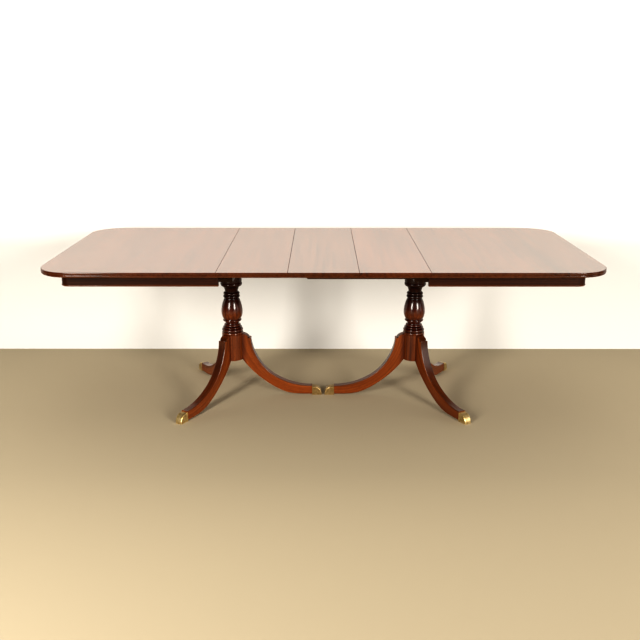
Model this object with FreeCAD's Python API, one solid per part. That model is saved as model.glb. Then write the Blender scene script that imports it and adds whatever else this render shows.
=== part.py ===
import FreeCAD, Part
import math
import os

# A double pedestal extension dining table with three loose leaves in place.
# Millimetres, +Z up, +X along the length; the origin is on the floor under the middle of the top.
# The right half is the left half turned half a turn about Z, so one set of functions makes both.

Vector = FreeCAD.Vector
os.makedirs("parts", exist_ok=True)

# Top: two fixed end boards and three loose leaves.
table_height = 762.0
top_depth = 1092.0
top_thickness = 22.0
end_length = 780.0
leaf_width = 305.0
leaf_count = 3
seam_gap = 0.4
top_corner_radius = 150.0
top_edge_round = 3.0
reed_round = 3.5
under_edge_round = 4.5
round_limit_share = 0.45
seam_ease = 1.0

# Registration dowels across the seams; their sockets are slots open at the underside.
dowel_radius = 5.0
dowel_reach = 12.0
dowel_spacing = 400.0
dowel_count = 3
dowel_clearance = 0.3

# Aprons under the end boards, with a bead along the lower edge and rounded corner blocks.
apron_setback = 89.0
apron_height = 60.0
apron_thickness = 20.0
apron_corner_radius = 40.0
bead_radius = 3.5
bead_proud = 2.0
glue_block_side = 24.0
glue_block_length = 90.0
glue_block_spacing = 330.0

# Wooden extension slides: in each set an end rail runs on each side of a fixed centre rail.
slide_setback = 86.0
rail_thickness = 26.0
rail_depth = 52.0
rail_overrun = 90.0
rail_end_clearance = 12.0
rail_bevel = 20.0
centre_rail_thickness = 32.0
centre_rail_length = 1260.0
slide_gap = 1.0
tongue_depth = 10.0
tongue_neck = 14.0
tongue_tip = 20.0
tongue_clearance = 0.5
end_travel = 60.0
stop_pin_radius = 3.0
stop_pin_reach = 6.0
rail_screw_spacing = 230.0
rail_screw_bite = 12.0

# Bearers: one across the centre rails on top of each pedestal.
pedestal_spacing = 908.0
bearer_width = 90.0
bearer_depth = 34.0
bearer_overhang = 10.0
bearer_end_depth = 17.0
bearer_seat_length = 130.0
bolt_radius = 4.0
bolt_head_radius = 7.5
bolt_head_depth = 5.5
bolt_bite = 30.0
bolt_spacing = 50.0

# Turned column: drum, moulded shaft, capital and tenon.
drum_radius = 52.0
drum_bottom = 193.0
drum_height = 133.0
capital_height = 83.0
capital_radius = 52.0
tenon_radius = 20.0
tenon_clearance = 0.2
capital_screw_spacing = 52.0
capital_screw_bite = 30.0

# Shaft mouldings from the drum upwards: radius share of the drum radius and height share of the shaft
# at the end of each stretch, then the same two for a point half way round it where it is curved.
curve_fullness_share = 0.26
shaft_start_share = 0.970
shaft_shares = [
    (0.970, 0.047, 1.030, 0.023),   # torus on the drum
    (0.940, 0.050, None, None),
    (0.940, 0.058, None, None),
    (0.880, 0.119, 1.006, 0.091),   # three reeds stepping inwards
    (0.840, 0.121, None, None),
    (0.765, 0.161, 0.908, 0.142),
    (0.725, 0.163, None, None),
    (0.650, 0.213, 0.792, 0.189),
    (0.632, 0.222, None, None),     # narrow neck
    (0.830, 0.271, 0.705, 0.253),   # hollow under the collar
    (0.830, 0.307, 0.890, 0.289),   # collar
    (0.812, 0.316, None, None),
    (1.018, 0.463, 0.950, 0.377),   # vase, lower swell
    (0.720, 0.734, 0.930, 0.606),   # vase, upper taper
    (0.680, 0.758, None, None),
    (0.720, 0.763, None, None),
    (0.720, 0.815, 0.790, 0.789),   # two rings
    (0.705, 0.824, None, None),
    (0.690, 0.877, 0.765, 0.850),
    (0.615, 0.881, None, None),
    (0.775, 0.988, 0.655, 0.938),   # flared neck
    (0.830, 1.000, None, None),
]

# Capital: the same kind of stretches, as shares of its own radius and of its own rim height.
capital_rim_height = 22.0
capital_shares = [
    (1.020, 0.50, 0.960, 0.16),     # rounded rim
    (0.980, 0.86, 1.012, 0.72),
    (1.000, 1.00, None, None),
]

# Sabre legs: three on each column, dovetailed into flats on the drum from below.
leg_count = 3
leg_width = 42.0
toe_width = 36.0
leg_reach = 447.0
toe_length = 49.0
toe_height = 48.0
toe_sole = 5.0
knee_reach = 86.0
knee_drop = 22.0
knee_step = 6.0
knee_pad_radius = 28.0
arris_round = 3.0
leg_tongue_neck = 14.0
leg_tongue_tip = 20.0
leg_tongue_depth = 13.0
leg_tongue_length = 100.0
leg_tongue_clearance = 0.15

# Leg curves: share of the run outwards to the toe and share of the drop still to go at each point.
knee_shares = (0.620, 0.640)
dorsal_shares = [(0.016, 0.855), (0.121, 0.551), (0.307, 0.285), (0.507, 0.133), (0.709, 0.043)]
under_shares = [(0.130, 0.702), (0.305, 0.410), (0.479, 0.191), (0.654, 0.048), (0.831, 0.005)]

# Brass toe caps: a shell over the tenon at the end of each leg, with a quarter-elliptical nose.
# The cap is a little lower than the end of the leg and has a thin lip round its mouth.
cap_wall = 2.0
cap_clearance = 0.2
cap_drop = 5.0
cap_edge_round = 4.5
cap_lip_length = 4.0
cap_lip_proud = 1.0
nose_length = 35.0
quarter_share = 0.5523

# Spider plate under each drum, holding the leg dovetails up.
plate_radius = 45.0
plate_thickness = 3.0
plate_screw_circle = 31.0
plate_screw_count = 6
plate_screw_length = 26.0
screw_radius = 2.2
screw_head_radius = 5.0
screw_head_depth = 4.0
screw_recess = 22.0

# Cuts run past the faces that they open by the overrun; places closer than the tolerance are the same.
overrun = 5.0
tolerance = 0.05

# Levels and places worked out from the sizes above.
top_under = table_height - top_thickness
half_depth = top_depth / 2
opening_half = (leaf_count * leaf_width + (leaf_count + 1) * seam_gap) / 2
half_length = opening_half + end_length
closing_travel = opening_half
rail_under = top_under - rail_depth
centre_top = top_under - slide_gap
centre_under = rail_under - slide_gap
bearer_top = centre_under
bearer_under = bearer_top - bearer_depth
bearer_arm_under = bearer_top - bearer_end_depth
drum_top = drum_bottom + drum_height
shaft_top = bearer_under - capital_height
shaft_height = shaft_top - drum_top
pedestal_x = pedestal_spacing / 2
apron_outer_y = half_depth - apron_setback
apron_outer_x = half_length - apron_setback
outer_rail_y = apron_outer_y - apron_thickness - slide_setback - rail_thickness
centre_rail_y = outer_rail_y - slide_gap - centre_rail_thickness
inner_rail_y = centre_rail_y - slide_gap - rail_thickness
rail_outer_end = apron_outer_x - apron_thickness - rail_end_clearance
drum_flat = math.sqrt(drum_radius ** 2 - (leg_width / 2) ** 2)
toe_start = leg_reach - toe_length
reed_height = top_thickness / 2
reed_level = top_under + reed_height
dowel_level = top_under + top_thickness / 2
tongue_level = rail_under + rail_depth / 2


def save(name, shape):
    """Writes one sub-part under its own name."""
    shape.exportStep("parts/" + name + ".step")


def block(x0, x1, y0, y1, z0, z1):
    """A box between two corners."""
    return Part.makeBox(x1 - x0, y1 - y0, z1 - z0, Vector(x0, y0, z0))


def prism(corners, travel):
    """A flat outline pushed along a vector."""
    outline = Part.makePolygon(corners + corners[:1])
    return Part.Face(outline).extrude(travel)


def rod(radius, start, direction, length):
    """A round bar from a point along a direction."""
    return Part.makeCylinder(radius, length, start, direction)


def group(solids):
    """Separate solids that share one node."""
    return Part.makeCompound(solids)


def half_turn(shape):
    """The same piece on the other half of the table."""
    turned = shape.copy()
    turned.rotate(Vector(0, 0, 0), Vector(0, 0, 1), 180)
    return turned


def screw(point, up, length):
    """A countersunk wood screw, its flat head at the point and its shank going up or down."""
    way = Vector(0, 0, 1 if up else -1)
    head = Part.makeCone(screw_head_radius, screw_radius, screw_head_depth, point, way)
    shank = rod(screw_radius, point, way, length)
    return head.fuse(shank).removeSplitter()


def is_level_edge(edge, level):
    """True for an edge that lies wholly at one height."""
    box = edge.BoundBox
    return box.ZLength < tolerance and abs(box.Center.z - level) < tolerance


def reed(layer, seams, low, low_round, high, high_round):
    """Rounds a layer along its rim at both levels into one reed, leaving the seam edges at the given X sharp."""
    def on_seam(edge):
        box = edge.BoundBox
        return any(box.XLength < tolerance and abs(box.Center.x - x) < tolerance for x in seams)
    for level, radius in ((low, low_round), (high, high_round)):
        rim = [e for e in layer.Edges if is_level_edge(e, level) and not on_seam(e)]
        layer = layer.makeFillet(min(radius, reed_height * round_limit_share), rim)
    return layer


def reeded_board(layer, seams):
    """A board whose rim is worked into two reeds, one above the other; layer gives its plain form by levels."""
    upper = reed(layer(reed_level, table_height), seams, reed_level, reed_round, table_height, top_edge_round)
    lower = reed(layer(top_under, reed_level), seams, top_under, under_edge_round, reed_level, reed_round)
    board = upper.fuse(lower).removeSplitter()
    return board.cut([eased_arris(x, board.BoundBox.Center.x) for x in seams])


def eased_arris(seam_x, middle_x):
    """A small bevel along the upper arris of a seam edge, on the side of the board's middle."""
    inwards = math.copysign(seam_ease, middle_x - seam_x)
    outwards = -math.copysign(overrun, inwards)
    corners = [Vector(seam_x + inwards, -half_depth - overrun, table_height),
               Vector(seam_x, -half_depth - overrun, table_height - seam_ease),
               Vector(seam_x + outwards, -half_depth - overrun, table_height - seam_ease),
               Vector(seam_x + outwards, -half_depth - overrun, table_height + overrun),
               Vector(seam_x + inwards, -half_depth - overrun, table_height + overrun)]
    return prism(corners, Vector(0, top_depth + 2 * overrun, 0))


def dowel_places():
    """Y places of the dowels along a seam."""
    first = -dowel_spacing * (dowel_count - 1) / 2
    return [first + dowel_spacing * i for i in range(dowel_count)]


def dowels(seam_x, towards):
    """Round dowels glued into one edge and reaching across the seam towards +X or -X."""
    start = seam_x - towards * dowel_reach
    length = 2 * dowel_reach + seam_gap
    return [rod(dowel_radius, Vector(start, y, dowel_level), Vector(towards, 0, 0), length)
            for y in dowel_places()]


def dowel_slots(seam_x, towards):
    """Sockets for the dowels: round at the top and open at the underside, so that a leaf drops on."""
    width = dowel_radius + dowel_clearance
    depth = dowel_reach + seam_gap + dowel_clearance
    cuts = []
    for y in dowel_places():
        start = Vector(seam_x - towards * seam_gap, y, dowel_level)
        cuts.append(rod(width, start, Vector(towards, 0, 0), depth))
        x0, x1 = sorted((start.x, start.x + towards * depth))
        cuts.append(block(x0, x1, y - width, y + width, top_under - overrun, dowel_level))
    return cuts


def left_end_top():
    """End board: straight at the seam, with two large rounded outer corners."""
    def layer(low, high):
        board = block(-half_length, -opening_half, -half_depth, half_depth, low, high)
        middle = -opening_half - end_length / 2
        upright = [e for e in board.Edges if e.BoundBox.ZLength > tolerance and e.BoundBox.Center.x < middle]
        return board.makeFillet(top_corner_radius, [e for e in upright if e.BoundBox.YLength < tolerance])
    board = reeded_board(layer, [-opening_half])
    return board.cut(dowels(-opening_half, 1)).cut(left_rail_screws())


def leaf(index):
    """A loose leaf, reeded at front and back; the middle one has the dowels and the others the slots."""
    x0 = -opening_half + seam_gap + index * (leaf_width + seam_gap)
    x1 = x0 + leaf_width
    def layer(low, high):
        return block(x0, x1, -half_depth, half_depth, low, high)
    board = reeded_board(layer, [x0, x1])
    if index == leaf_count // 2:
        return board.cut(dowels(x0, -1) + dowels(x1, 1))
    return board.cut(dowel_slots(x0, 1) + dowel_slots(x1, -1))


def apron_outline(face_x):
    """Section of an apron in XZ, its outer face looking towards +X: a flat board with a half-round bead."""
    bottom = top_under - apron_height
    back = face_x - apron_thickness
    bead_top = bottom + 2 * bead_radius
    tip = Vector(face_x + bead_proud, 0, bottom + bead_radius)
    points = [Vector(face_x, 0, bead_top), Vector(face_x, 0, top_under), Vector(back, 0, top_under),
              Vector(back, 0, bottom), Vector(face_x, 0, bottom)]
    edges = [Part.makeLine(a, b) for a, b in zip(points[:-1], points[1:])]
    edges.append(Part.Arc(points[-1], tip, points[0]).toShape())
    return Part.Face(Part.Wire(edges))


def left_end_apron():
    """The apron across the end, between the two corner blocks."""
    half = apron_outer_y - apron_corner_radius
    section = apron_outline(apron_outer_x)
    section.rotate(Vector(0, 0, 0), Vector(0, 0, 1), 180)
    section.translate(Vector(0, -half, 0))
    return section.extrude(Vector(0, 2 * half, 0))


def left_side_apron(side):
    """The front (-1) or back (+1) apron, from the corner block to the seam."""
    section = apron_outline(apron_outer_y)
    section.rotate(Vector(0, 0, 0), Vector(0, 0, 1), side * 90)
    start = -apron_outer_x + apron_corner_radius
    section.translate(Vector(start, 0, 0))
    return section.extrude(Vector(-opening_half - start, 0, 0))


def left_corner_block(side):
    """The rounded block that joins the end apron to the front (-1) or back (+1) apron."""
    section = apron_outline(apron_corner_radius)
    corner = section.revolve(Vector(0, 0, 0), Vector(0, 0, 1), 90)
    corner.rotate(Vector(0, 0, 0), Vector(0, 0, 1), 90 if side > 0 else 180)
    corner.translate(Vector(-apron_outer_x + apron_corner_radius, side * (apron_outer_y - apron_corner_radius), 0))
    return corner


def left_glue_blocks():
    """Triangular blocks glued into the angle of aprons and end board."""
    blocks = []
    inner_y = apron_outer_y - apron_thickness
    inner_x = -apron_outer_x + apron_thickness
    middle = -opening_half - end_length / 2 + apron_setback / 2
    drop = Vector(0, 0, -glue_block_side)
    for side in (-1, 1):
        for place in (-1, 1):
            x = middle + place * glue_block_spacing / 2 - glue_block_length / 2
            corner = Vector(x, side * inner_y, top_under)
            corners = [corner, corner + Vector(0, -side * glue_block_side, 0), corner + drop]
            blocks.append(prism(corners, Vector(glue_block_length, 0, 0)))
        corner = Vector(inner_x, side * glue_block_spacing / 2 - glue_block_length / 2, top_under)
        corners = [corner, corner + Vector(glue_block_side, 0, 0), corner + drop]
        blocks.append(prism(corners, Vector(0, glue_block_length, 0)))
    return group(blocks)


def tongue(x0, x1, face_y, towards, grow):
    """Dovetail tongue along a rail, on its face at face_y, reaching towards +Y or -Y; grow widens it all round."""
    neck = tongue_neck / 2 + grow
    tip = tongue_tip / 2 + grow
    far_y = face_y + towards * (tongue_depth + grow)
    corners = [Vector(x0, face_y, tongue_level - neck), Vector(x0, face_y, tongue_level + neck),
               Vector(x0, far_y, tongue_level + tip), Vector(x0, far_y, tongue_level - tip)]
    return prism(corners, Vector(x1 - x0, 0, 0))


def left_rail(y0, tongue_face, towards):
    """End rail of a slide: bevelled at its inner end, with a tongue grooved for the stop pin."""
    x0, x1 = -rail_outer_end, rail_overrun
    corners = [Vector(x0, y0, rail_under), Vector(x1 - rail_bevel, y0, rail_under),
               Vector(x1, y0, rail_under + rail_bevel), Vector(x1, y0, top_under), Vector(x0, y0, top_under)]
    rail = prism(corners, Vector(0, rail_thickness, 0))
    rail = rail.fuse(tongue(x0, x1 - rail_bevel / 2, tongue_face, towards, 0)).removeSplitter()
    room = stop_pin_radius + tongue_clearance
    tip = tongue_face + towards * tongue_depth
    depth = stop_pin_reach + tongue_clearance
    g0, g1 = sorted((tip - towards * depth, tip + towards * overrun))
    groove = block(-closing_travel - room, end_travel + room, g0, g1, tongue_level - room, tongue_level + room)
    recesses = []
    for shank in left_rail_screws():
        place = shank.BoundBox.Center
        recesses.append(rod(screw_head_radius + tongue_clearance, Vector(place.x, place.y, rail_under - overrun),
                            Vector(0, 0, 1), screw_recess + overrun))
    return rail.cut([groove] + recesses).cut(left_rail_screws())


def left_rail_screws():
    """Screws up through the two end rails into the end board."""
    length = rail_depth - screw_recess + rail_screw_bite
    middle = -(opening_half + rail_outer_end) / 2
    places = []
    for y in (-inner_rail_y - rail_thickness / 2, outer_rail_y + rail_thickness / 2):
        for i in (-1, 0, 1):
            places.append(Vector(middle + i * rail_screw_spacing, y, rail_under + screw_recess))
    return [screw(place, True, length) for place in places]


def front_stop_pin():
    """Pin through the front centre rail; it rides in the grooves of both tongues and stops the draw."""
    middle = centre_rail_y + centre_rail_thickness / 2
    half = centre_rail_thickness / 2 + slide_gap - tongue_depth + stop_pin_reach
    return rod(stop_pin_radius, Vector(0, -middle - half, tongue_level), Vector(0, 1, 0), 2 * half)


def left_bolt_places():
    """Where bolts go up through the left bearer into the two centre rails."""
    middle = centre_rail_y + centre_rail_thickness / 2
    return [Vector(-pedestal_x + i * bolt_spacing / 2, side * middle, bearer_arm_under)
            for side in (-1, 1) for i in (-1, 1)]


def left_bearer_bolts():
    """Hexagon-headed bolts holding the bearer to the centre rails."""
    bolts = []
    for place in left_bolt_places():
        ring = [place + Vector(bolt_head_radius * math.cos(math.radians(60 * i)),
                               bolt_head_radius * math.sin(math.radians(60 * i)), 0) for i in range(6)]
        head = prism(ring, Vector(0, 0, -bolt_head_depth))
        shank = rod(bolt_radius, place, Vector(0, 0, 1), bearer_end_depth + bolt_bite)
        bolts.append(head.fuse(shank).removeSplitter())
    return bolts


def front_centre_rail():
    """Fixed rail of a slide, grooved on both faces for the dovetail tongues."""
    half = centre_rail_length / 2
    y0, y1 = -centre_rail_y - centre_rail_thickness, -centre_rail_y
    rail = block(-half, half, y0, y1, centre_under, centre_top)
    ends = (-half - overrun, half + overrun)
    rail = rail.cut([tongue(*ends, y0 - slide_gap, 1, tongue_clearance),
                     tongue(*ends, y1 + slide_gap, -1, tongue_clearance), front_stop_pin()])
    bolts = left_bearer_bolts()
    return rail.cut(bolts + [half_turn(bolt) for bolt in bolts])


def left_bearer():
    """Cross bearer: a deep seat on the capital and arms that taper to flat ends under the centre rails."""
    half = centre_rail_y + centre_rail_thickness + bearer_overhang
    arm = centre_rail_y - bearer_overhang
    seat = bearer_seat_length / 2
    outline = [(-half, bearer_arm_under), (-half, bearer_top), (half, bearer_top), (half, bearer_arm_under),
               (arm, bearer_arm_under), (seat, bearer_under), (-seat, bearer_under), (-arm, bearer_arm_under)]
    corners = [Vector(-pedestal_x - bearer_width / 2, y, z) for y, z in outline]
    bearer = prism(corners, Vector(bearer_width, 0, 0))
    mortise = rod(tenon_radius + tenon_clearance, Vector(-pedestal_x, 0, bearer_under - overrun),
                  Vector(0, 0, 1), bearer_depth + 2 * overrun)
    return bearer.cut([mortise] + left_capital_screws() + left_bearer_bolts())


def left_capital_screws():
    """Four screws down through the bearer into the capital."""
    step = capital_screw_spacing / 2
    return [screw(Vector(-pedestal_x + i * step, j * step, bearer_top), False, bearer_depth + capital_screw_bite)
            for i in (-1, 1) for j in (-1, 1)]


def stretches(start, shares, radius, base, height):
    """Edges of a turned outline in XZ from a point, one line or cubic curve for each stretch of shares."""
    edges = []
    here = start
    for end_r, end_z, mid_r, mid_z in shares:
        there = Vector(radius * end_r, 0, base + height * end_z)
        if mid_r is None:
            edges.append(Part.makeLine(here, there))
        else:
            middle = Vector(radius * mid_r, 0, base + height * mid_z)
            swell = (middle - (here + there) / 2) * 4 / 3
            lean = (there - here) * curve_fullness_share
            bulge = Part.BezierCurve()
            bulge.setPoles([here, here + swell + lean, there + swell - lean, there])
            edges.append(bulge.toShape())
        here = there
    return edges, here


def leg_angles():
    """Angles of the inner, front and back legs of the left pedestal."""
    return {"inner": 0, "front": -360 / leg_count, "back": 360 / leg_count}


def on_left_pedestal(shape, angle):
    """Turns a piece made along +X about the column's axis and puts it on the left pedestal."""
    shape.rotate(Vector(0, 0, 0), Vector(0, 0, 1), angle)
    shape.translate(Vector(-pedestal_x, 0, 0))
    return shape


def leg_tongue(grow):
    """Dovetail tongue of a leg, reaching into the drum from its flat."""
    neck = leg_tongue_neck / 2 + grow
    tip = leg_tongue_tip / 2 + grow
    deep = drum_flat - leg_tongue_depth - grow
    corners = [Vector(drum_flat, -neck, drum_bottom), Vector(drum_flat, neck, drum_bottom),
               Vector(deep, tip, drum_bottom), Vector(deep, -tip, drum_bottom)]
    return prism(corners, Vector(0, 0, leg_tongue_length + grow))


def left_column():
    """Turned column with flats and dovetail sockets for the legs and a tenon for the bearer."""
    axis_low = Vector(0, 0, drum_bottom)
    drum_rim = Vector(drum_radius, 0, drum_top)
    corners = [axis_low, Vector(drum_radius, 0, drum_bottom), drum_rim,
               Vector(drum_radius * shaft_start_share, 0, drum_top)]
    edges = [Part.makeLine(a, b) for a, b in zip(corners[:-1], corners[1:])]
    shaft, neck = stretches(corners[-1], shaft_shares, drum_radius, drum_top, shaft_height)
    capital, rim = stretches(neck, capital_shares, capital_radius, shaft_top, capital_rim_height)
    corners = [rim, Vector(capital_radius, 0, bearer_under), Vector(tenon_radius, 0, bearer_under),
               Vector(tenon_radius, 0, bearer_top), Vector(0, 0, bearer_top), axis_low]
    edges += shaft + capital + [Part.makeLine(a, b) for a, b in zip(corners[:-1], corners[1:])]
    column = Part.Face(Part.Wire(edges)).revolve(Vector(0, 0, 0), Vector(0, 0, 1), 360)
    cuts = []
    for angle in leg_angles().values():
        flat = block(drum_flat, drum_radius + overrun, -leg_width / 2 - overrun, leg_width / 2 + overrun,
                     drum_bottom - overrun, drum_top)
        socket = leg_tongue(leg_tongue_clearance)
        for cut in (flat, socket):
            cut.rotate(Vector(0, 0, 0), Vector(0, 0, 1), angle)
            cuts.append(cut)
    column = on_left_pedestal(column.cut(cuts), 0)
    return column.cut(left_capital_screws() + left_plate_screws())


def toe_solid(start, sole, inset):
    """Toe with a flat sole, a quarter-elliptical nose and a level top, drawn in by an inset all round."""
    half = toe_width / 2 - inset
    length = nose_length - inset
    height = toe_height - cap_drop - toe_sole - inset
    tip = Vector(leg_reach - inset, -half, toe_sole)
    crest = Vector(leg_reach - nose_length, -half, toe_sole + height)
    nose = Part.BezierCurve()
    nose.setPoles([tip, tip + Vector(0, 0, height * quarter_share),
                   crest + Vector(length * quarter_share, 0, 0), crest])
    corners = [crest, Vector(start, -half, crest.z), Vector(start, -half, sole), Vector(tip.x, -half, sole), tip]
    if sole == toe_sole:
        corners.pop(3)
    edges = [Part.makeLine(a, b) for a, b in zip(corners[:-1], corners[1:])]
    return Part.Face(Part.Wire(edges + [nose.toShape()])).extrude(Vector(0, 2 * half, 0))


def along(start, end, shares):
    """Points between two ends: share of the run from the start, share of the drop down to the end."""
    points = [Vector(start.x + (end.x - start.x) * run, start.y, end.z + (start.z - end.z) * drop)
              for run, drop in shares]
    return [start] + points + [end]


def curve(points):
    """A smooth curve through points."""
    spline = Part.BSplineCurve()
    spline.interpolate(points)
    return spline.toShape()


def leg_blank():
    """Side outline of a leg pushed to its width and tapered to the toe, soft along the curved arrises.
    The pad on the knee is round in plan, so it leaves a crescent ledge at the step."""
    half = leg_width / 2
    knee_top = Vector(drum_flat, -half, drum_top)
    knee_end = Vector(knee_reach, -half, drum_top - knee_drop)
    step = Vector(knee_reach + knee_step, -half, knee_end.z)
    toe_top = Vector(toe_start, -half, toe_height)
    toe_under = Vector(toe_start, -half, toe_sole)
    heel = Vector(drum_flat, -half, drum_bottom)
    knee = Part.Arc(knee_top, along(knee_top, knee_end, [knee_shares])[1], knee_end).toShape()
    edges = [knee, Part.makeLine(knee_end, step), curve(along(step, toe_top, dorsal_shares)),
             Part.makeLine(toe_top, toe_under), curve(along(heel, toe_under, under_shares)[::-1]),
             Part.makeLine(heel, knee_top)]
    blank = Part.Face(Part.Wire(edges)).extrude(Vector(0, leg_width, 0))
    plan = [Vector(drum_flat, -half, 0), Vector(toe_start, -toe_width / 2, 0),
            Vector(toe_start, toe_width / 2, 0), Vector(drum_flat, half, 0)]
    blank = blank.common(prism(plan, Vector(0, 0, drum_top + overrun)))
    arrises = [e for e in blank.Edges if e.BoundBox.YLength < leg_width / 2 and e.BoundBox.XLength > tolerance
               and not (e.BoundBox.ZLength < tolerance)]
    blank = blank.makeFillet(arris_round, arrises)
    pad_middle = knee_reach - knee_pad_radius
    beside_pad = block(pad_middle, knee_reach + overrun, -leg_width, leg_width, knee_end.z, drum_top + overrun)
    pad = rod(knee_pad_radius, Vector(pad_middle, 0, 0), Vector(0, 0, 1), table_height)
    return blank.cut(beside_pad.cut(pad))


def left_leg(angle):
    """A sabre leg with its dovetail tongue at the drum and its tenon in the toe cap."""
    tenon = toe_solid(toe_start, toe_sole, cap_wall + cap_clearance)
    leg = leg_blank().fuse([leg_tongue(0), tenon]).removeSplitter()
    return on_left_pedestal(leg, angle)


def left_toe_cap(angle):
    """A brass cap, hollow for the leg's tenon, with a lip round its mouth and its sole on the floor."""
    cap = toe_solid(toe_start, 0, 0)
    soft = [e for e in cap.Edges if e.BoundBox.YLength < tolerance and e.BoundBox.ZMax > tolerance
            and e.BoundBox.XMax > toe_start + tolerance]
    cap = cap.makeFillet(cap_edge_round, soft)
    mouth = block(toe_start, toe_start + cap_lip_length, -toe_width, toe_width, 0, toe_height)
    lip = toe_solid(toe_start, 0, -cap_lip_proud).common(mouth)
    cap = cap.fuse(lip).removeSplitter()
    cap = cap.cut(toe_solid(toe_start - overrun, toe_sole, cap_wall))
    return on_left_pedestal(cap, angle)


def left_plate_screws():
    """Screws up through the spider plate into the end of the drum."""
    places = []
    for i in range(plate_screw_count):
        turn = math.radians(360 * (i + 1 / 2) / plate_screw_count)
        places.append(Vector(-pedestal_x + plate_screw_circle * math.cos(turn),
                             plate_screw_circle * math.sin(turn), drum_bottom - plate_thickness))
    return [screw(place, True, plate_screw_length) for place in places]


def left_spider_plate():
    """Round steel plate under the drum."""
    plate = rod(plate_radius, Vector(-pedestal_x, 0, drum_bottom), Vector(0, 0, -1), plate_thickness)
    return plate.cut(left_plate_screws())


def save_pair(name, shape):
    """Writes a piece of the left half, and the same piece turned round for the right half."""
    save("left_" + name, shape)
    swap = {"front": "back", "back": "front"}
    other = "_".join(swap.get(word, word) for word in name.split("_"))
    save("right_" + other, half_turn(shape))


# The two ends of the top, which draw outwards.
save_pair("end_top", left_end_top())
save_pair("end_apron", left_end_apron())
for place, side in (("front", -1), ("back", 1)):
    save_pair(place + "_apron", left_side_apron(side))
    save_pair(place + "_corner_block", left_corner_block(side))
save_pair("glue_blocks", left_glue_blocks())
save_pair("front_rail", left_rail(-inner_rail_y - rail_thickness, -inner_rail_y - rail_thickness, -1))
save_pair("back_rail", left_rail(outer_rail_y, outer_rail_y, -1))
save_pair("rail_screws", group(left_rail_screws()))
save_pair("end_dowels", group(dowels(-opening_half, 1)))

# The loose leaves.
for index, place in enumerate(("left", "middle", "right")):
    save("leaf_" + place, leaf(index))
save("leaf_middle_dowels", group(dowels(-leaf_width / 2, -1) + dowels(leaf_width / 2, 1)))

# The fixed middle of the slides.
save("front_centre_rail", front_centre_rail())
save("back_centre_rail", half_turn(front_centre_rail()))
save("slide_stop_pins", group([front_stop_pin(), half_turn(front_stop_pin())]))

# The two pedestals.
save_pair("bearer", left_bearer())
save_pair("bearer_bolts", group(left_bearer_bolts()))
save_pair("column", left_column())
save_pair("capital_screws", group(left_capital_screws()))
save_pair("spider_plate", left_spider_plate())
save_pair("spider_screws", group(left_plate_screws()))
for place, angle in leg_angles().items():
    save_pair(place + "_leg", left_leg(angle))
    save_pair(place + "_toe_cap", left_toe_cap(angle))
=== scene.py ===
import bpy
import math
import numpy as np
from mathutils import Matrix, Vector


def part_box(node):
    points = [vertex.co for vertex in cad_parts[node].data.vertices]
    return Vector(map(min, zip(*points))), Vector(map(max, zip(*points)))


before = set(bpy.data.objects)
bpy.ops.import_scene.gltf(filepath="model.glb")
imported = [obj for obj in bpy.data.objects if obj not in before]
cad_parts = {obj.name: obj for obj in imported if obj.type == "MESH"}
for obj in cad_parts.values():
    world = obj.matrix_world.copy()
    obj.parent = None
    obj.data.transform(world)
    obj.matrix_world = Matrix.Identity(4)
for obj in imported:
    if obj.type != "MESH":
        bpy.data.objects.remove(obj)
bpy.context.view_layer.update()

# Camera: a standing person's view of the long side, from a little under four metres, tilted down.
# The lens is that of the photograph's square frame, and the optical axis is level from side to side.
eye = bpy.data.cameras.new("eye")
eye.lens = 45.52
eye.sensor_width = 36.0
eye_holder = bpy.data.objects.new("eye", eye)
eye_holder.location = (-0.0103, -3.8796, 1.5422)
eye_holder.rotation_euler = (math.radians(73.50), 0, math.radians(0.079))
bpy.context.scene.collection.objects.link(eye_holder)
bpy.context.scene.camera = eye_holder
bpy.context.scene.view_settings.view_transform = "Standard"
bpy.context.scene.view_settings.look = "High Contrast"


# Studio floor and backdrop: a matt floor and a plain pale wall close behind the table, all flat sheets.
# The wall glows above the table like a lit paper backdrop, which the lacquered top mirrors. From behind
# it is clear, so that it hides nothing.
def linear(code):
    """Linear RGBA of an sRGB hex colour: each channel over 12.92 when dark, and a 2.4 power above that."""
    shares = [int(code[i:i + 2], 16) / 255 for i in (1, 3, 5)]
    return tuple(c / 12.92 if c <= 0.04045 else ((c + 0.055) / 1.055) ** 2.4 for c in shares) + (1.0,)


def fill(node, settings):
    """Gives a shader node its settings: values of its own or of its sockets, or outputs linked to sockets."""
    for name, value in settings.items():
        if name == "stops":
            while len(node.color_ramp.elements) < len(value):
                node.color_ramp.elements.new(1.0)
            for stop, (place, colour) in zip(node.color_ramp.elements, value):
                stop.position = place
                stop.color = colour
        elif isinstance(value, bpy.types.NodeSocket):
            node.id_data.links.new(value, node.inputs[name])
        elif isinstance(name, int) or name in node.inputs:
            node.inputs[name].default_value = value
        else:
            setattr(node, name, value)
    return node


def add(tree, kind, settings):
    """Adds one shader node of a kind, with its settings and links, and gives its outputs."""
    return fill(tree.nodes.new("ShaderNode" + kind), settings).outputs


def place_in(tree):
    """Where a point of the piece lies, in metres, as outputs X, Y and Z."""
    return add(tree, "SeparateXYZ", {0: add(tree, "TexCoord", {})["Object"]})


def new_material(name):
    """A new material, its node tree and its surface shader."""
    stuff = bpy.data.materials.new(name)
    stuff.use_nodes = True
    return stuff, stuff.node_tree, stuff.node_tree.nodes["Principled BSDF"]


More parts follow.
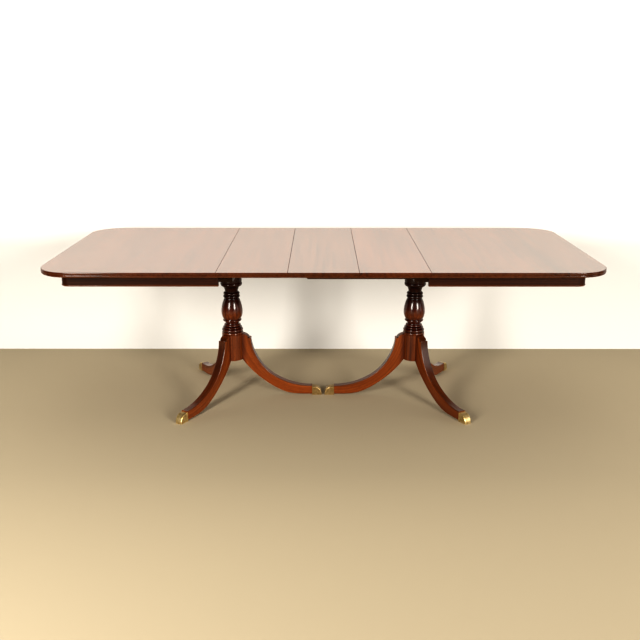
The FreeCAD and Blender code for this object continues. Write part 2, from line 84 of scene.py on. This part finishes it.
def grid_mesh(name, points):
    """A quad mesh on a grid of points of shape rows, columns, 3. Each quad joins a point to its neighbours
    in the next row and column."""
    rows, columns = points.shape[:2]
    corner = np.arange(rows * columns).reshape(rows, columns)
    quads = np.stack([corner[:-1, :-1], corner[:-1, 1:], corner[1:, 1:], corner[1:, :-1]], -1)
    mesh = bpy.data.meshes.new(name)
    mesh.from_pydata(points.reshape(-1, 3), [], quads.reshape(-1, 4))
    mesh.shade_smooth()
    made = bpy.data.objects.new(name, mesh)
    bpy.context.scene.collection.objects.link(made)
    return made


def floor_sheet(name, half_width, y_near, y_far):
    """A flat sheet on the ground between two places in Y."""
    y, x = np.meshgrid(np.linspace(y_near, y_far, 3), np.linspace(-half_width, half_width, 3), indexing="ij")
    return grid_mesh(name, np.stack([x, y, np.zeros_like(x)], -1))


floor_half = 9.0
wall_place, wall_half, wall_height = 0.72, 7.0, 4.0
studio_floor = floor_sheet("studio_floor", floor_half, -floor_half, wall_place)
floor_behind = floor_sheet("studio_floor_behind", floor_half, wall_place, floor_half)
wall_z, wall_x = np.meshgrid(np.linspace(0, wall_height, 3), np.linspace(-wall_half, wall_half, 3),
                             indexing="ij")
studio_wall = grid_mesh("studio_wall", np.stack([wall_x, np.full_like(wall_x, wall_place), wall_z], -1))

# Floor paint: warm and pale, with no gleam, so that the shadows lie soft and plain on it.
floor_paint, _, skin = new_material("matt_studio_floor")
fill(skin, {"Base Color": linear("#a59a84"), "Roughness": 0.85, "Specular IOR Level": 0.2})
studio_floor.data.materials.append(floor_paint)
floor_behind.data.materials.append(floor_paint)

# Wall paint: matt and nearly white. Its glow is faint below the top of the table and bright above it.
glow_foot, glow_head = 0.62, 1.10
faint_glow, bright_glow = 0.16, 0.69
wall_paint, tree, skin = new_material("lit_studio_wall")
glow = add(tree, "MapRange", {"Value": place_in(tree)["Z"], "From Min": glow_foot, "From Max": glow_head,
                              "To Min": faint_glow, "To Max": bright_glow})
fill(skin, {"Base Color": linear("#bbbbb9"), "Roughness": 0.9, "Specular IOR Level": 0.1,
            "Emission Color": linear("#fff6e9"), "Emission Strength": glow["Result"]})
seen = add(tree, "MixShader", {0: add(tree, "NewGeometry", {})["Backfacing"], 1: skin.outputs[0],
                               2: add(tree, "BsdfTransparent", {})[0]})
fill(tree.nodes["Material Output"], {"Surface": seen[0]})
studio_wall.data.materials.append(wall_paint)


# Studio lights: two tall soft boxes in front, left and right of the camera, a card at the right and a weak
# light overhead give the paired upright highlights on the columns and the gleam on the caps. One more, behind
# the wall, lights only the table and the floor at its back. The surround is pale and gives little light.
def soft_box(name, place, target, width, height, power, tint):
    """A rectangular area light at a place, looking at a target, its height upright."""
    lamp = bpy.data.lights.new(name, "AREA")
    lamp.shape = "RECTANGLE"
    lamp.size, lamp.size_y = width, height
    lamp.energy = power
    lamp.color = linear(tint)[:3]
    holder = bpy.data.objects.new(name, lamp)
    aim = np.subtract(target, place)
    flat = math.hypot(aim[0], aim[1])
    holder.location = place
    holder.rotation_euler = (math.atan2(flat, -aim[2]), 0, math.atan2(-aim[0], aim[1]))
    bpy.context.scene.collection.objects.link(holder)
    return holder


soft_box("left_soft_box", place=(-2.3, -3.75, 1.70), target=(-0.2, 0, 0.5), width=0.8, height=1.7, power=190,
         tint="#fff9f0")
soft_box("right_soft_box", place=(3.4, -5.0, 1.80), target=(0.2, 0, 0.5), width=1.4, height=1.9, power=300,
         tint="#fff9f0")
soft_box("right_card", place=(4.6, -1.7, 1.50), target=(0.6, 0, 1.3), width=1.6, height=2.9, power=27,
         tint="#fffaf4")
soft_box("overhead_soft_box", place=(0, -0.6, 3.4), target=(0, -0.1, 0), width=3.0, height=2.0, power=13,
         tint="#fffaf4")
rear_fill = soft_box("rear_soft_box", place=(0, 3.4, 2.7), target=(0, 0, 0.4), width=3.6, height=1.6,
                     power=100, tint="#fffaf4")
rear_fill.visible_camera = False
rear_fill.visible_glossy = False
lit_from_behind = bpy.data.collections.new("lit_from_behind")
for lit in [*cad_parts.values(), floor_behind]:
    lit_from_behind.objects.link(lit)
rear_fill.light_linking.receiver_collection = lit_from_behind
rear_fill.light_linking.blocker_collection = lit_from_behind

shown, cast = 0.6, 0.05
surround = bpy.data.worlds.new("studio_surround")
bpy.context.scene.world = surround
surround.use_nodes = True
tree = surround.node_tree
strength = add(tree, "MapRange", {"Value": add(tree, "LightPath", {})["Is Camera Ray"], "To Min": cast,
                                  "To Max": shown})
fill(tree.nodes["Background"], {"Color": linear("#d8d2c8"), "Strength": strength[0]})


# Top boards: two end boards and three loose leaves of mahogany veneer, its grain running across the table.
# The rim is worked into two dark-stained reeds, the face is lacquered, and the underside is bare and matt.
def mixed(tree, share, first, second, kind="MIX"):
    """Two colours mixed by a share, plainly or by multiplying or screening. Each is a value or an output."""
    return add(tree, "Mix", {"data_type": "RGBA", "blend_type": kind, 0: share, 6: first, 7: second})[2]


def mahogany(name, tones, seed, axis_place=(0, 0, 0), axis_turn=(0, 0, 0), sweep=None, shine=1.0,
             ring_share=0.12, pore_share=1.0, streak_width=0.010, streak_detail=5.0):
    """Stained mahogany under lacquer, as a solid texture: local X runs along the grain; growth layers are
    rings about a pith line beside the piece, streaks and pores are noise drawn out along the grain. With a
    sweep, the grain follows an arc in local XZ: X is then the angle times the radius, and Z the distance
    from the centre. Gives the material, its tree, its shader and the colour of its face."""
    stuff, tree, skin = new_material(name)
    local = add(tree, "Mapping", {"vector_type": "TEXTURE", "Location": axis_place, "Rotation": axis_turn,
                                  "Vector": add(tree, "TexCoord", {})["Object"]})[0]
    if sweep:
        centre_x, centre_z, radius = sweep
        about = add(tree, "Mapping", {"Location": (-centre_x, 0, -centre_z), "Vector": local})[0]
        apart = add(tree, "SeparateXYZ", {0: about})
        angle = add(tree, "Math", {"operation": "ARCTAN2", 0: apart["Z"], 1: apart["X"]})[0]
        run = add(tree, "Math", {"operation": "MULTIPLY", 0: angle, 1: radius})[0]
        flat = add(tree, "Mapping", {"Scale": (1, 0, 1), "Vector": about})[0]
        out = add(tree, "VectorMath", {"operation": "LENGTH", 0: flat})["Value"]
        local = add(tree, "CombineXYZ", {"X": run, "Y": apart["Y"], "Z": out})[0]

    # Growth layers are a few millimetres apart. They are drawn 9 mm apart so that they show.
    ring_spacing = 0.009
    wave_length_unscaled = 0.31416
    shifted = add(tree, "Mapping", {"Location": (seed, 0.9, 0.35), "Scale": (0.12, 1, 1), "Vector": local})[0]
    rings = add(tree, "TexWave", {"wave_type": "RINGS", "rings_direction": "X",
                                  "Scale": wave_length_unscaled / ring_spacing, "Distortion": 5.0,
                                  "Detail": 3.0, "Detail Scale": 0.35, "Vector": shifted})["Fac"]

    # Ribbon streaks are as wide as on real boards, and the clouds of stain are as large as a hand.
    streak_length, cloud_size = 0.45, 0.16
    drawn = add(tree, "Mapping", {"Location": (seed * 3.7, seed, 0), "Vector": local,
                                  "Scale": (1 / streak_length, 1 / streak_width, 1 / streak_width)})[0]
    streaks = add(tree, "TexNoise", {"Scale": 1.0, "Detail": streak_detail, "Roughness": 0.6,
                                     "Vector": drawn})["Fac"]
    cloud = add(tree, "TexNoise", {"Scale": 1 / cloud_size, "Detail": 2.0, "Vector": shifted})["Fac"]

    # Pores are dark dashes about 0.2 mm wide, too fine to show. They are drawn 1.1 mm wide, and as much longer.
    pore_width, pore_length = 0.0011, 0.016
    dashes = add(tree, "Mapping", {"Scale": (1 / pore_length, 1 / pore_width, 1 / pore_width),
                                   "Vector": local})[0]
    pores = add(tree, "TexNoise", {"Scale": 1.0, "Detail": 1.0, "Vector": dashes})["Fac"]
    pore_mask = add(tree, "MapRange", {"From Min": 0.60, "From Max": 0.70, "To Max": pore_share,
                                       "interpolation_type": "SMOOTHSTEP", "Value": pores})[0]

    cloud_share = 0.35
    figure = add(tree, "Mix", {"data_type": "FLOAT", 0: ring_share, 2: streaks, 3: rings})[0]
    figure = add(tree, "Mix", {"data_type": "FLOAT", 0: cloud_share, 2: figure, 3: cloud})[0]
    light, middle, dark = (linear(tone) for tone in tones)
    colour = add(tree, "ValToRGB", {"stops": [(0.32, dark), (0.48, middle), (0.64, light)], "Fac": figure})[0]
    stained = mixed(tree, pore_mask, colour, dark)

    # The lacquer is the coat and gives the gleam. The wood under it is satin, with little gleam of its own.
    satin = add(tree, "MapRange", {"To Min": 0.34, "To Max": 0.48, "Value": streaks})[0]
    open_pores = add(tree, "Bump", {"Strength": 0.35, "Distance": 0.0003, "invert": True,
                                    "Height": pore_mask})[0]
    fill(skin, {"Base Color": stained, "Roughness": satin, "Normal": open_pores, "IOR": 1.5,
                "Specular IOR Level": 0.08, "Coat Weight": shine, "Coat Roughness": 0.10, "Coat IOR": 1.5})
    return stuff, tree, skin, stained


def dress(stuff, *nodes):
    """Gives a finish to the material slots of the named pieces."""
    for node in nodes:
        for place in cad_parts[node].material_slots:
            place.material = stuff


# Each board has tones and a figure of its own. Limits are the upward part of the surface's direction: 1 on
# the face, 0 on the rim, -1 underneath.
across = (0, 0, math.pi / 2)
face_ends, rim_starts = 0.97, 0.86
rim_ends, underside_starts = -0.5, -0.95
no_lacquer, thin_lacquer, full_lacquer = ((share, share, share, 1) for share in (0, 0.5, 1))
for board, tones, seed in (("left_end_top", ("#6e3f28", "#59301d", "#381b0e"), 0.4),
                           ("leaf_left", ("#704229", "#5c331e", "#3c1e10"), 1.9),
                           ("leaf_middle", ("#6a4029", "#56311f", "#361c11"), 3.1),
                           ("leaf_right", ("#734329", "#5e331e", "#3c1e10"), 4.6),
                           ("right_end_top", ("#6e4129", "#58321e", "#381c10"), 6.2)):
    veneer, tree, skin, face_colour = mahogany("mahogany_veneer_" + board, tones, seed, axis_turn=across,
                                               ring_share=0.08, pore_share=0.4, streak_width=0.013,
                                               streak_detail=4.0)
    upward = add(tree, "SeparateXYZ", {0: add(tree, "NewGeometry", {})["True Normal"]})["Z"]
    on_rim = add(tree, "MapRange", {"From Min": face_ends, "From Max": rim_starts,
                                    "interpolation_type": "SMOOTHSTEP", "Value": upward})[0]
    rim_colour = mixed(tree, 1.0, face_colour, linear("#ae9360"), "MULTIPLY")
    edged = mixed(tree, on_rim, face_colour, rim_colour)
    on_underside = add(tree, "MapRange", {"From Min": rim_ends, "From Max": underside_starts,
                                          "Value": upward})[0]
    bare_colour = mixed(tree, 0.25, face_colour, linear("#b08a62"), "SCREEN")
    turned_up = add(tree, "MapRange", {"From Min": -1.0, "Value": upward})[0]
    lacquer = add(tree, "ValToRGB", {"stops": [(0.02, no_lacquer), (0.25, thin_lacquer), (0.93, thin_lacquer),
                                               (0.985, full_lacquer)], "Fac": turned_up})[0]
    # Lacquer rubbed to a satin: it mirrors the wall as one even sheen, with no gleam from the wood below.
    fill(skin, {"Base Color": mixed(tree, on_underside, edged, bare_colour), "Specular IOR Level": 0.0,
                "Coat Weight": lacquer, "Coat IOR": 1.65, "Coat Roughness": 0.16})
    dress(veneer, board)


# Aprons: mahogany boards with a small bead along the lower edge, glued and blocked under the end boards.
# Their grain runs along them, and turned corner blocks join them at the rounded corners. They are nearly
# matt. They are dark partly from their own stain and partly from painted shade under the overhang of the top.
# The lower part of the bead is painted lighter, a painted highlight where the lamps catch its round.
# Painted shade: these tones are darker than the rest of the mahogany, for the shade under the overhang of the
# top.
apron_shaded_tones = ("#34180a", "#291006", "#1b0a04")
upright_grain = (0, -math.pi / 2, 0)
apron_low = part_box("left_front_apron")[0][2]
bead_height = 0.007
bead_highlight_below = bead_height * 0.7
for wood, turn, seed, pieces in (("side_aprons", (0, 0, 0), 2.3, ("front_apron", "back_apron")),
                                 ("end_aprons", across, 5.3, ("end_apron",)),
                                 ("corner_blocks", upright_grain, 7.7,
                                  ("front_corner_block", "back_corner_block"))):
    boards, tree, skin, face_colour = mahogany("mahogany_" + wood, apron_shaded_tones, seed, axis_turn=turn,
                                               shine=0.15)
    # Painted highlight: the lower part of the bead is painted lighter.
    on_bead = add(tree, "MapRange", {"From Min": apron_low + bead_height, "Value": place_in(tree)["Z"],
                                     "From Max": apron_low + bead_highlight_below})[0]
    fill(skin, {"Base Color": mixed(tree, on_bead, face_colour, linear("#4e2a14"))})
    dress(boards, *[end + piece for end in ("left_", "right_") for piece in pieces])


# Columns: each turned from one mahogany billet with the grain upright, stained dark and lacquered glossy.
# Painted shade darkens the quirks between the mouldings. The colour darkens towards the head, partly from stain
# and partly from painted shade under the top. It is lightest on the lower swell of the vase and on the drum.
# The gloss is full below the vase and duller above it.
column_tones = ("#6a3511", "#512308", "#301104")
column_foot, column_head = 0.193, 0.653
quirk_heights = (0.339, 0.3553, 0.3655, 0.379, 0.402, 0.5085, 0.526, 0.5405, 0.5685)
quirk_half = 0.0035
# Multipliers by height: darker on the foot reeds, lightest on the lower swell of the vase and on the drum, and
# darker towards the head, where the darkening is partly stain and partly painted shade under the top.
shade_heights = ((0.193, "#ffffff"), (0.326, "#ffffff"), (0.345, "#b69a8e"), (0.395, "#b69a8e"),
                 (0.425, "#ffffff"), (0.455, "#c0a498"), (0.490, "#7c665c"), (0.520, "#66524a"),
                 (0.580, "#7a6456"), (0.612, "#7a6456"), (0.653, "#4c3c36"))
full_gloss_below, dull_above, dull_gloss = 0.405, 0.54, 0.35
# Painted shade in the quirks between the mouldings.
unshaded, painted_quirk_shade = linear("#ffffff"), linear("#5e463c")
quirk_stops = []
for quirk in quirk_heights:
    quirk_stops += [(quirk - quirk_half, unshaded), (quirk, painted_quirk_shade), (quirk + quirk_half, unshaded)]
shade_stops = [(z, linear(shade)) for z, shade in shade_heights]
for column in ("left_column", "right_column"):
    (x0, y0, _), (x1, y1, _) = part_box(column)
    axis = ((x0 + x1) / 2, (y0 + y1) / 2, 0)
    turned, tree, skin, face_colour = mahogany("turned_mahogany_" + column, column_tones, axis[0] + 2.0,
                                               axis_place=axis, axis_turn=upright_grain)
    height = place_in(tree)["Z"]
    rise = add(tree, "MapRange", {"From Min": column_foot, "From Max": column_head, "Value": height})[0]
    colour = face_colour
    for stops in (quirk_stops, shade_stops):
        shares = [((z - column_foot) / (column_head - column_foot), shade) for z, shade in stops]
        stain = add(tree, "ValToRGB", {"stops": shares, "Fac": rise})[0]
        colour = mixed(tree, 1.0, colour, stain, "MULTIPLY")
    gloss = add(tree, "MapRange", {"From Min": full_gloss_below, "From Max": dull_above, "To Min": 1.0,
                                   "To Max": dull_gloss, "Value": height})[0]
    fill(skin, {"Base Color": colour, "Coat Weight": gloss, "Coat Roughness": 0.17})
    dress(turned, column)


# Legs: sabre legs sawn from mahogany planks picked for grain that follows the sweep from knee to toe.
# The sides are a clear orange red under lacquer. The back is darkened with painted shade, most of all near
# the knee, and has a heavier lacquer. Painted shade also darkens each leg where it meets the drum.
leg_tones = ("#80431a", "#66300c", "#472008")
leg_sweep = (0.381, 0.359, 0.333)
leg_turns = {"left_inner": 0, "left_front": -120, "left_back": 120,
             "right_inner": 180, "right_front": -60, "right_back": 60}
pedestal_x = 0.454
back_starts, back_full = 0.35, 0.80
# Painted shade on the back of the leg: lighter near the toe, darker near the knee.
toe_back_shade, knee_back_shade = linear("#b4b0ac"), linear("#8f8b87")
toe_below, knee_above = 0.10, 0.20
side_gloss, back_gloss = 0.6, 0.85
joint_ends, joint_starts = 0.075, 0.049
for leg, degrees in leg_turns.items():
    x = -pedestal_x if leg.startswith("left") else pedestal_x
    turn = (0, 0, math.radians(degrees))
    sawn, tree, skin, face_colour = mahogany("sawn_mahogany_" + leg, leg_tones, degrees / 50 + x,
                                             axis_place=(x, 0, 0), axis_turn=turn, sweep=leg_sweep,
                                             ring_share=0.06)
    local = add(tree, "Mapping", {"vector_type": "TEXTURE", "Location": (x, 0, 0), "Rotation": turn,
                                  "Vector": add(tree, "TexCoord", {})["Object"]})[0]
    apart = add(tree, "SeparateXYZ", {0: local})

    # The back faces the centre of the sweep: the surface's direction is compared with the way to that centre.
    facing = add(tree, "Mapping", {"vector_type": "TEXTURE", "Rotation": turn,
                                   "Vector": add(tree, "NewGeometry", {})["True Normal"]})[0]
    inwards = add(tree, "VectorMath", {"operation": "SUBTRACT", 0: (leg_sweep[0], 0, leg_sweep[1]),
                                       1: local})[0]
    flat = add(tree, "Mapping", {"Scale": (1, 0, 1), "Vector": inwards})[0]
    centrewards = add(tree, "VectorMath", {"operation": "NORMALIZE", 0: flat})[0]
    back = add(tree, "VectorMath", {"operation": "DOT_PRODUCT", 0: facing, 1: centrewards})["Value"]
    on_back = add(tree, "MapRange", {"From Min": back_starts, "From Max": back_full,
                                     "interpolation_type": "SMOOTHSTEP", "Value": back})[0]
    rise = add(tree, "MapRange", {"From Min": toe_below, "From Max": knee_above,
                                  "interpolation_type": "SMOOTHSTEP", "Value": apart["Z"]})[0]
    # Painted shade: the back is darkened, more near the knee than at the toe.
    shaded_back = mixed(tree, on_back, face_colour, mixed(tree, rise, toe_back_shade, knee_back_shade), "MULTIPLY")
    # Painted shade where the leg meets the drum.
    joint_shade = add(tree, "MapRange", {"From Min": joint_ends, "From Max": joint_starts, "To Max": 0.8,
                                      "interpolation_type": "SMOOTHSTEP", "Value": apart["X"]})[0]
    gloss = add(tree, "MapRange", {"To Min": side_gloss, "To Max": back_gloss, "Value": on_back})[0]
    fill(skin, {"Base Color": mixed(tree, joint_shade, shaded_back, linear("#8a6a5c"), "MULTIPLY"),
                "Coat Weight": gloss, "Coat Roughness": 0.26})
    dress(sawn, leg + "_leg")


# Toe caps: cast brass shoes driven over the tenons of the legs, satin from handling and a little tarnished.
# The tarnish lies in brown clouds, which are duller than the metal between them. The inner caps, near the
# middle of the table, are a little darker and browner.
brass, tree, skin = new_material("cast_brass")
surface = add(tree, "TexCoord", {})["Object"]
patch_size = 0.018
patches = add(tree, "TexNoise", {"Scale": 1 / patch_size, "Detail": 4.0, "Roughness": 0.6,
                                 "Vector": surface})["Fac"]
metal = add(tree, "ValToRGB", {"stops": [(0.30, linear("#a48e5a")), (0.52, linear("#ccb686")),
                                         (0.72, linear("#e2d09e"))], "Fac": patches})[0]
dull = add(tree, "MapRange", {"To Min": 0.50, "To Max": 0.32, "Value": patches})[0]

# The skin left by the moulding sand has grains of about 0.3 mm. They are drawn 1.2 mm wide so that they show.
sand_size = 0.0012
sand = add(tree, "TexNoise", {"Scale": 1 / sand_size, "Detail": 2.0, "Vector": surface})["Fac"]
cast_skin = add(tree, "Bump", {"Strength": 0.12, "Distance": 0.0002, "Height": sand})[0]
inner_within, outer_beyond = 0.10, 0.30
from_middle = add(tree, "Math", {"operation": "ABSOLUTE", 0: place_in(tree)["X"]})[0]
away_from_middle = add(tree, "MapRange", {"From Min": inner_within, "From Max": outer_beyond, "Value": from_middle})[0]
# Darker and browner on the inner caps, near the middle of the table.
inner_darkening = mixed(tree, away_from_middle, linear("#d4ccc4"), linear("#ffffff"))
fill(skin, {"Base Color": mixed(tree, 1.0, metal, inner_darkening, "MULTIPLY"), "Metallic": 1.0, "Roughness": dull,
            "Normal": cast_skin})
dress(brass, *[leg + "_toe_cap" for leg in leg_turns])


# Slides, bearers and glue blocks: plain hardwood, stained brown to go with the top and left nearly matt.
# The grain of the rails and the blocks runs lengthwise, that of the bearers across.
slide_tones = ("#3e2515", "#2f190d", "#1e0d06")
along_slide = mahogany("stained_hardwood_rails", slide_tones, 8.2, shine=0.15)[0]
dress(along_slide, "left_front_rail", "left_back_rail", "right_front_rail", "right_back_rail",
      "front_centre_rail", "back_centre_rail", "left_glue_blocks", "right_glue_blocks")
across_slide = mahogany("stained_hardwood_bearers", slide_tones, 9.4, axis_turn=across, shine=0.15)[0]
dress(across_slide, "left_bearer", "right_bearer")


# Dowels: birch pegs glued into the edges of the boards, pale and bare, so they have no gleam.
# Their grain runs along them.
peg_tones = ("#dcc49a", "#cdb083", "#b5935f")
peg_wood = mahogany("birch_dowels", peg_tones, 1.2, shine=0.0)[0]
dress(peg_wood, "left_end_dowels", "right_end_dowels", "leaf_middle_dowels")


# Fastenings: steel screws, bolts, stop pins and the spider plates, turned and pressed, darkened by age.
# A thin brown film lies on them in spots, duller than the grey metal between.
steel, tree, skin = new_material("aged_steel")
film_size = 0.006
film = add(tree, "TexNoise", {"Scale": 1 / film_size, "Detail": 3.0,
                              "Vector": add(tree, "TexCoord", {})["Object"]})["Fac"]
grey = add(tree, "ValToRGB", {"stops": [(0.35, linear("#4b4038")), (0.55, linear("#7d7974")),
                                        (0.75, linear("#9a9893"))], "Fac": film})[0]
worn = add(tree, "MapRange", {"To Min": 0.55, "To Max": 0.35, "Value": film})[0]
fill(skin, {"Base Color": grey, "Metallic": 1.0, "Roughness": worn})
dress(steel, "slide_stop_pins", *[end + part for end in ("left_", "right_") for part in
                                  ("rail_screws", "bearer_bolts", "capital_screws", "spider_plate",
                                   "spider_screws")])
